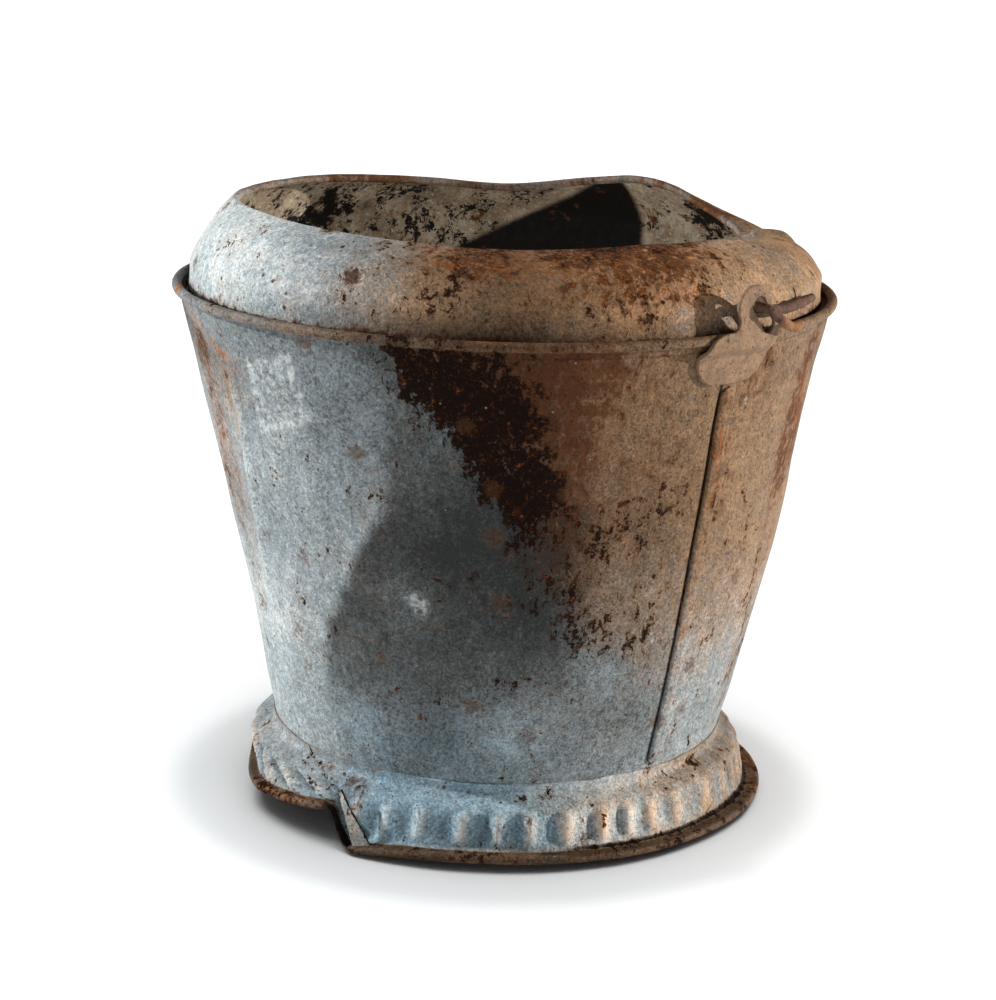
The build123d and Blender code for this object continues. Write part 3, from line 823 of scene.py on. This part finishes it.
def make_collar(material, inside):
    """The collar, from its band inside the wall to its curled lip, and the path of the wire in the lip."""
    turn = np.arange(-180, 180, 1.25)
    lip_radius = ring_curve(LIP_RADIUS, turn, 5)
    lip_height = ring_curve(LIP_HEIGHT, turn, 5)
    knee = 147.4 + 0.5 * fbm(polar(147, turn, 250), 60, 41, 2)
    knee_height = ring_curve(KNEE_HEIGHT, turn, 10)
    shoulder = ring_curve(SHOULDER, turn, 10)
    shoulder_height = ring_curve(SHOULDER_HEIGHT, turn, 8)
    control = controls(
        turn,
        (wall_radius(223) - SHEET - 0.35 + dents(turn, np.full_like(turn, 223)), 223),
        (wall_radius(236.5) - SHEET - 0.2 + dents(turn, np.full_like(turn, 236.5)), 236.5),
        (147.9, TROUGH),
        (knee + 0.2, 0.5 * (TROUGH + knee_height)),
        (knee, knee_height),
        (shoulder, shoulder_height),
        (0.5 * (shoulder + lip_radius), 0.5 * (shoulder_height + lip_height) + 0.8),
        (lip_radius, lip_height),
    )
    profile = evenly(corners_cut(control), 58)
    end = profile[:, -1] - profile[:, -4]
    slope = np.arctan2(end[:, 1], end[:, 0])
    normal = np.stack((np.cos(slope + math.pi / 2), np.sin(slope + math.pi / 2)), -1)
    centre = profile[:, -1] + LIP_ROLL * normal
    arc = slope[:, None] - math.pi / 2 + np.radians(np.linspace(12, 215, LIP_CURL))[None]
    curl = centre[:, None] + LIP_ROLL * np.stack((np.cos(arc), np.sin(arc)), -1)
    rz = np.concatenate((profile, curl), axis=1)
    count = rz.shape[1]
    height = np.clip((rz[..., 1] - TROUGH) / (lip_height[:, None] - TROUGH), -0.5, 1.1)
    t = turn[:, None]
    p = polar(rz[..., 0], t, rz[..., 1])
    free = smooth(rz[..., 1], 244, 256)
    hump = 3.2 * hill(wrap(t - 99), 0, 3.2) * smooth(height, 0.55, 1.0)
    hump = hump - 1.4 * hill(wrap(t - 106), 0, 4) * smooth(height, 0.5, 1.0)
    folds = 0.8 * np.sin(np.radians(t * 36 + 40 * height)) * hill(t, 92, 14) * smooth(height, 0.25, 0.7)
    out = free * (0.7 * fbm(p, 48, 51, 2) + 0.3 * fbm(p, 17, 55, 2)) + folds
    out = out - 1.2 * hill(t, -20, 12) * hill(height, 0.72, 0.2)
    z = rz[..., 1] + hump + 0.25 * free * fbm(p, 22, 61, 2)
    middle = settle(polar(rz[..., 0] + out - SHEET / 2, t, z))
    on_curl = count - LIP_CURL - 4
    piece = sheet("collar_sheet", middle, [material, inside], lined=on_curl)
    turns = np.broadcast_to(t, height.shape)
    masks = collar_masks(turns, height)
    on_curl = smooth(np.arange(count), on_curl, on_curl + 4) * np.ones_like(turns)
    worn = np.clip(on_curl * smooth(np.abs(wrap(turns + 50)), 20, 60), 0, 1)
    masks["tone"] = masks["tone"] + worn * (0.46 - masks["tone"])
    masks["tan"] = masks["tan"] + worn * (0.6 - masks["tan"])
    masks["brown"] = masks["brown"] + worn * 0.1
    mould = 0.29 + 0.22 * fbm(p, 30, 95, 3) + 0.28 * between(wrap(turns + 147), -14, 10, 8)
    masks["mould"] = mould + 0.2 * hill(wrap(turns - 136), 0, 14)
    # A painted shadow, the collar lip's shadow on the far inside, with a slanting edge; and a small mould spot
    around = np.where(turns < 0, turns + 360, turns)
    shadow_end = 186 - 0.78 * (rz[..., 1] - 245)
    painted_shadow_and_mould = smooth(around, 149, 153) * (1 - smooth(around - shadow_end, -5, 3))
    masks["painted_shadow_and_mould"] = painted_shadow_and_mould + 0.5 * hill(wrap(turns + 149), 0, 4) * hill(rz[..., 1], 263, 6)
    paint(piece, **masks)
    wire = settle(polar(centre[:, 0] - SHEET / 2, turn, centre[:, 1] + hump[:, count - LIP_CURL]))
    return piece, wire


FOOT_ROLL = 1.5  # from the foot's wire to the middle of the sheet round it
FOOT_CURL = 15  # points round that wire
TEAR_TOP, TEAR_END = -36.0, -29.5  # turns between which the foot's edge is torn

# The bent foot by turn: (turn, value)
LIFT = [
    (-45, 1.0), (-28, 1.2), (-18, 4.2), (0, 5.0), (20, 4.0), (40, 3.2),
    (70, 2.6), (90, 0.8), (105, 0), (180, 0), (-90, 0),
]
TORN_LIFT = [
    (-34, 18.5), (-37, 17.6), (-42, 15.9), (-50, 13.6), (-58, 11.6), (-66, 11.6), (-76, 13), (-84, 13.5),
    (-92, 9.5), (-100, 2.5), (-108, 0), (180, 0), (100, 0), (-20, 18.5),
]
FOOT_RADIUS = [
    (-34, 128.5), (-50, 128), (-60, 127), (-68, 123), (-78, 117.5), (-90, 115), (-100, 118), (-112, 126),
    (-130, 129), (180, 129), (110, 130), (90, 130.6), (70, 130.8), (50, 129.6), (0, 129),
]
FOOT_TONE = [
    (-180, 0.62), (-100, 0.7), (-48, 0.64), (-19, 0.8), (2, 0.88),
    (28, 1.04), (50, 0.8), (62, 0.7), (90, 0.6), (180, 0.62),
]
FOOT_TAN = [(-180, 0.5), (-60, 0.15), (-20, 0.04), (0, 0.14), (20, 0.3), (58, 0.62), (180, 0.5)]


def foot_lift(turn):
    """Height of the foot's rolled edge above the floor."""
    front = ring_curve(LIFT, turn, 3)
    left = ring_curve(TORN_LIFT, turn, 1.2)
    torn = smooth(-turn, 29.5, 35.5) * (np.abs(wrap(turn)) < 140)
    return np.where(wrap(turn) < -29, torn * left + (1 - torn) * front, front)


def torn_flange(material):
    """The strip of skirt left standing at the tear, its top tucked in."""
    down = np.linspace(0, 1, 15)[:, None]
    across = np.linspace(0, 1, 5)[None]
    z = 28.5 - 23.6 * down + 0.5 * across
    left = along([(0.0, -33.6), (0.5, -30.4), (1.0, -28.3)], down)
    turn = left + (0.7 + 3.0 * down) * across + 0.25 * noise(polar(130, left, z), 4, 12)
    radius = 126.6 + 3.6 * np.sin(np.radians(75 * down)) - 2.6 * across * down + 0.5 * np.sin(np.radians(300 * down))
    strip = sheet("flange", settle(polar(radius, turn, z)), [material], closed=False)
    rust = 0.26 + 0.4 * (across > 0.9)
    grime_and_shade = 0.75 * (across > 0.95) + 0.5 * (down < 0.1)
    looks = dict(tone=0.9, tan=0.35, cool=0, brown=0.26, rust=rust, orange=0.05, chalk=0.22, grime_and_shade=grime_and_shade)
    paint(strip, **{name: np.zeros(turn.shape) + value for name, value in looks.items()})
    return strip


def join(piece, others):
    """Adds other meshes to a piece."""
    bpy.ops.object.select_all(action="DESELECT")
    for other in (*others, piece):
        other.select_set(True)
    bpy.context.view_layer.objects.active = piece
    bpy.ops.object.join()


def make_foot(material, wire_material):
    """The fluted skirt with its rolled edge and the tear, and the wire in that edge, which stops at the tear."""
    turn = np.arange(-180, 180, 0.8)
    torn = smooth(turn, TEAR_TOP - 1.5, TEAR_TOP) * (1 - smooth(turn, TEAR_END, TEAR_END + 1.2))
    left = smooth(-turn, 33, 37) * (1 - smooth(-turn, 98, 112))  # the crushed side
    roll = FOOT_ROLL * (1 - 0.84 * torn)
    low = FOOT_ROLL + SHEET / 2 + foot_lift(turn)
    bead = ring_curve(FOOT_RADIUS, turn, 3) + 0.45 + 0.5 * noise(polar(130, turn, 0), 40, 3)
    arc = np.radians(np.linspace(-150, 90, FOOT_CURL))
    curl = np.stack((bead[:, None] + roll[:, None] * np.cos(arc), low[:, None] + roll[:, None] * np.sin(arc)), -1)
    bottom = curl[:, -1, 1]
    skirt = np.minimum(124.0, bead - 2.6)
    control = controls(
        turn,
        (bead - 0.6, bottom),
        (skirt + 0.4, bottom + 0.4),
        (skirt - 0.6, bottom + 3.5),
        (0.5 * (skirt + 119.3), 0.5 * (bottom + 24.0)),
        (119.3, 24.5),
        (wall_radius(29.0) + PLY + 1.2, 29.2),
        (wall_radius(31.5) + PLY + 0.2, 32.0),
        (wall_radius(35.0) + PLY, 35.0 + 0.5 * noise(polar(112, turn, 35), 12, 8)),
    )
    profile = evenly(corners_cut(control), 34)
    rz = np.concatenate((curl, profile[:, 1:]), axis=1)
    station = np.arange(rz.shape[1])
    t, left = turn[:, None], left[:, None]
    share = np.clip((rz[..., 1] - bottom[:, None]) / (26.0 - bottom[:, None]), 0, 1)
    on_skirt = smooth(share, 0.05, 0.35) * (1 - smooth(share, 0.72, 1.0))
    on_skirt[:, :FOOT_CURL] = 0
    phase = t + 2.2 * noise(polar(40, t, 0), 14, 17)
    flutes = np.cos(np.radians(phase * 46)) + 0.35 * np.cos(np.radians(phase * 92 + 60))
    size = (1.0 + 0.5 * noise(polar(60, t, 0), 18, 19)) * (1 - 0.35 * smooth(wrap(t), 15, 60))
    slant = np.cos(np.radians((t + 15 * share) * 34)) + 0.5 * np.cos(np.radians((t + 22 * share) * 61))
    out = on_skirt * (1.05 * size * flutes * (1 - left) + 1.6 * slant * left)
    p = polar(rz[..., 0], t, rz[..., 1])
    loose = (1 - smooth(rz[..., 1], 27, 31)) * np.where(station < FOOT_CURL, 0.25, 1.0)
    out = out + loose * (0.5 * fbm(p, 26, 23, 2) + 0.25 * fbm(p, 9, 29, 2))
    middle = settle(polar(rz[..., 0] + out - SHEET / 2 * (station >= FOOT_CURL), t, rz[..., 1]))
    piece = sheet("foot_ring_sheet", middle, [material])

    turns = wrap(np.broadcast_to(t, share.shape))
    cloud = fbm(p, 40, 33, 3)
    right = smooth(turns, 12, 50) * (1 - smooth(turns, 120, 150))
    flange = smooth(share, 0.16, 0.02)
    # Painted light and shade on the flutes: paler, pinker ridges and darker, bluer hollows, and likewise on the
    # crushed side's slanting wrinkles
    flute_light_and_shade = on_skirt * (np.clip(flutes, -1.2, 1.2) * (1 - left) + np.clip(slant, -1, 1) * left)
    cools = smooth(-np.abs(wrap(turns + 14)), -38, -16)
    under_wall = hill(rz[..., 1], 35.2, 0.9)
    # Darker where the skirt meets the wall and along the tear
    grime_and_shade = 0.45 * under_wall + 0.8 * torn[:, None] * hill(share, 0.0, 0.04)
    looks = dict(  # on the rolled edge, and on the rest
        tone=(0.36 + 0.3 * cloud, along(FOOT_TONE, turns) + 0.14 * cloud + (0.26 - 0.12 * right) * flute_light_and_shade),
        tan=(0.9, along(FOOT_TAN, turns) + 0.35 * flange + 0.25 * cloud + 0.16 * flute_light_and_shade),
        cool=(0.0, (0.15 + 0.85 * cools) * (0.85 - 0.45 * flute_light_and_shade)),
        brown=(0.4 + 0.4 * cloud, 0.02 + 0.14 * right + 0.2 * flange + 0.3 * torn[:, None] + 0.2 * cloud),
        rust=(0.4 + 0.35 * cloud, 0.08 + 0.55 * hill(share, 0.0, 0.07) * smooth(turns, 0, 30)),
        orange=(0.12 + 0.4 * cloud, 0.5 * under_wall * smooth(-turns, 10, 30)),
        chalk=(0.0, 0.12 * smooth(cloud, 0, 0.5) + 0.2 * between(turns, 18, 40, 10)),
        # On the right, the groove above the rolled edge: rust in it and painted shade
        grime_and_shade=(grime_and_shade, grime_and_shade + 0.7 * hill(share, 0.04, 0.09) * between(turns, 22, 110, 14)),
    )
    paint(piece, **{name: np.where(station < FOOT_CURL + 2, edge, rest) for name, (edge, rest) in looks.items()})
    join(piece, [torn_flange(material)])
    wire = settle(polar(bead, turn, low))
    keep = np.where((wrap(turn) < TEAR_TOP - 2) | (wrap(turn) > TEAR_END + 1.5))[0]
    start = int(np.argmax(np.diff(keep))) + 1
    keep = np.concatenate((keep[start:], keep[:start]))
    strand = tube("foot_wire_strand", wire[keep], 1.0, [wire_material], sides=10, lumps=0.1, seed=4)
    return piece, strand


def make_bottom(material):
    """The disc that closes the wall, with its turned-down edge."""
    turn = np.arange(-180, 180, 2.5)
    edge = wall_radius(27)
    control = [(2, 29), (40, 29.2), (76, 29), (82, 27), (edge - 3.2, 27), (edge - 1, 26.6), (wall_radius(20) - 1, 20)]
    rz = evenly(corners_cut(np.array([control], dtype=float)), 60)[0]
    t = turn[:, None]
    p = polar(rz[:, 0], t, rz[:, 1])
    sag = 1.0 * fbm(p, 45, 43, 3) * (1 - smooth(rz[:, 0], 85, 103))
    piece = sheet("bottom_disc_sheet", settle(polar(rz[:, 0], t, rz[:, 1] - 0.4 + sag)), [material], cap=True)
    paint(piece, mould=0.2 + 0.4 * fbm(p, 50, 45, 3))
    return piece


VOXEL = 0.42  # of the remesh
WEAR = 0.16  # how far the worn surface wanders


def worn_copy(name, nodes, material, seed):
    """A CAD part as one worn skin: remeshed, which rounds its edges, and pitted."""
    joined = bmesh.new()
    for node in nodes:
        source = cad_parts[node]
        part = source.data.copy()
        part.transform(source.matrix_world)
        joined.from_mesh(part)
        bpy.data.meshes.remove(part)
    mesh = bpy.data.meshes.new(name)
    joined.to_mesh(mesh)
    joined.free()
    rough = place(name + "_rough", mesh)
    remesh = rough.modifiers.new("remesh", "REMESH")
    remesh.mode = "VOXEL"
    remesh.voxel_size = VOXEL * MM
    soften = rough.modifiers.new("soften", "SMOOTH")
    soften.iterations = 2
    soften.factor = 0.5
    graph = bpy.context.evaluated_depsgraph_get()
    skin = bpy.data.meshes.new_from_object(rough.evaluated_get(graph))
    bpy.data.objects.remove(rough)
    count = len(skin.vertices)
    points, normals = np.empty(count * 3), np.empty(count * 3)
    skin.vertices.foreach_get("co", points)
    skin.vertices.foreach_get("normal", normals)
    points, normals = points.reshape(-1, 3) / MM, normals.reshape(-1, 3)
    pits = -np.clip(noise(points, 2.6, seed) - 0.35, 0, 1) * 1.6
    points = points + normals * (WEAR * (fbm(points, 5, seed + 3, 3) + pits))[:, None]
    skin.vertices.foreach_set("co", (settle(points) * MM).reshape(-1))
    skin.materials.clear()
    skin.materials.append(material)
    skin.polygons.foreach_set("material_index", np.zeros(len(skin.polygons), int))
    skin.shade_smooth()
    skin.name = name
    return place(name, skin)


def bail_path(side):
    """The stub's route: its broken run along the rim, through the ear's eye, and the hook outside."""
    run = polar(152.4, np.array([21.5, 18, 14.5, 11, 8.3]) - FACE, np.array([252.9, 252.7, 252.3, 252.2, 252.6]))
    eye = [(152.2, 10.5, 254.6), (153.2, 5.3, 256.2), (158.0, 4.0, 256.9), (161.8, 6.4, 255.8)]
    hook = [(162.6, 12.0, 251.6), (162.4, 18.5, 247.4), (161.6, 23.5, 246.2), (160.6, 27.0, 246.9)]
    path = evenly(corners_cut(np.concatenate((run, eye, hook))[None]), 90)[0]
    path[:, 0] *= side
    return settle(path)


# --- the scene

make_camera()

zinc_wall = zinc("zinc_wall_old", stain=0.2, spots=0.4)
zinc_collar = zinc("zinc_collar_old", stain=0.4, spots=1.0)
zinc_foot = zinc("zinc_foot_old", stain=0.3, spots=0.8)
zinc_inside = interior("zinc_inside_old")
iron_ear = rusty_iron("iron_ear_old", (0.27, 0.165, 0.098), (0.1, 0.05, 0.03), RUST_ORANGE, 0.65, 0.1)
iron_bail = rusty_iron("iron_bail_old", (0.13, 0.062, 0.036), (0.022, 0.011, 0.008), (0.26, 0.115, 0.045), 0.9, 0.5)
iron_wire = rusty_iron("iron_wire_old", (0.16, 0.09, 0.06), (0.05, 0.027, 0.02), RUST_ORANGE, 0.7, 0.2)

front = panel("body_front_sheet", SEAM_FRONT, 180, -1, -0.8, [zinc_wall, zinc_inside])
back = panel("body_back_sheet", SEAM_BACK, 0, 1, -0.76, [zinc_wall, zinc_inside])
collar, lip_path = make_collar(zinc_collar, zinc_inside)
foot, foot_strand = make_foot(zinc_foot, iron_wire)
bottom = make_bottom(zinc_inside)
ring = np.arange(-180, 180, 2.0)
rim_strand = tube("rim_wire_strand", settle(polar(RIM[0], ring, RIM[1])), 1.45, [iron_wire], closed=True, sides=10)
lip_strand = tube("collar_lip_strand", lip_path, 1.05, [iron_wire], closed=True, sides=10)
ears = {
    "right": worn_copy("ear_right_worn", ["ear_right", "ear_rivets_right"], iron_ear, seed=3),
    "left": worn_copy("ear_left_worn", ["ear_left", "ear_rivets_left"], iron_ear, seed=63),
}
stubs = {}
for side, sign in (("right", 1), ("left", -1)):
    path = bail_path(sign)
    stub = tube(f"bail_stub_{side}_worn", path, 2.15, [iron_bail], lumps=0.42, seed=7 if sign > 0 else 17)
    orange = np.repeat(smooth(np.linspace(0, 1, len(path)), 0.72, 0.95), SIDES)
    cap = (len(stub.data.vertices) - len(orange)) // 2
    paint(stub, orange=np.concatenate((orange, np.zeros(cap), np.ones(cap))))
    stubs[side] = stub

for piece, node, slot in (
    (front, "body_front_panel", "zinc_wall"),
    (back, "body_back_panel", "zinc_wall"),
    (collar, "collar", "zinc_collar"),
    (foot, "foot_ring", "zinc_foot"),
    (bottom, "bottom_disc", "zinc_inside"),
    (rim_strand, "rim_wire", "rusty_wire"),
    (lip_strand, "collar_lip_wire", "rusty_wire"),
    (foot_strand, "foot_wire", "rusty_wire"),
):
    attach(piece, "bucket")
    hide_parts(node)
for side in ("right", "left"):
    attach(ears[side], "bucket")
    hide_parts(f"ear_{side}", f"ear_rivets_{side}")
    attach(stubs[side], f"bail_{side}")
    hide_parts(f"bail_stub_{side}")

# Floor and light
floor_mesh = bpy.data.meshes.new("floor")
floor_bm = bmesh.new()
bmesh.ops.create_circle(floor_bm, cap_ends=True, segments=96, radius=30)
floor_bm.to_mesh(floor_mesh)
floor_bm.free()
floor_shader = Shader("floor_pale", specular=0.1)
floor_shader.colour = floor_shader.mix(floor_shader.noise(300), (0.9, 0.905, 0.91), (0.92, 0.925, 0.93))
floor_mesh.materials.append(floor_shader.finish(0.9, floor_shader.bump(floor_shader.noise(4), 0.1, 0.1)))
floor = place("floor", floor_mesh)

world = bpy.data.worlds.new("studio")
bpy.context.scene.world = world
world.use_nodes = True
background = world.node_tree.nodes["Background"].inputs
background["Color"].default_value = (1, 1, 1, 1)
background["Strength"].default_value = 0.16

key = make_sun("key", 95, 11, 5.1, 0.8, (1.0, 0.96, 0.9))
fill = make_sun("fill", -100, 27, 5.1, 3, (0.97, 0.99, 1.0))
make_sun("above", 0, 66, 0.3, 60, (1.0, 1.0, 1.0))
floor_light = make_sun("floor_light", 0, 86, 2.95, 60, (0.985, 1.0, 1.0))
floor_edge = make_sun("floor_edge", 180, 88, 0.75, 5, (1.0, 1.0, 1.0))

lamp = bpy.data.lights.new("inside", "POINT")  # stands in for light that bounces about inside the bucket
lamp.energy = 0.42
lamp.shadow_soft_size = 0.03
place("inside", lamp).location = (Vector(direction(70, 0)) * 45 + Vector((0, 0, 215))) * MM

model = bpy.data.collections.new("lit_model")
for piece in [front, back, collar, foot, bottom, rim_strand, lip_strand, foot_strand, *ears.values(), *stubs.values()]:
    model.objects.link(piece)
stage = bpy.data.collections.new("lit_stage")
stage.objects.link(floor)
for light in (key, fill):
    light.light_linking.receiver_collection = model
for light in (floor_light, floor_edge):
    light.light_linking.receiver_collection = stage

bpy.context.scene.view_settings.view_transform = "Standard"
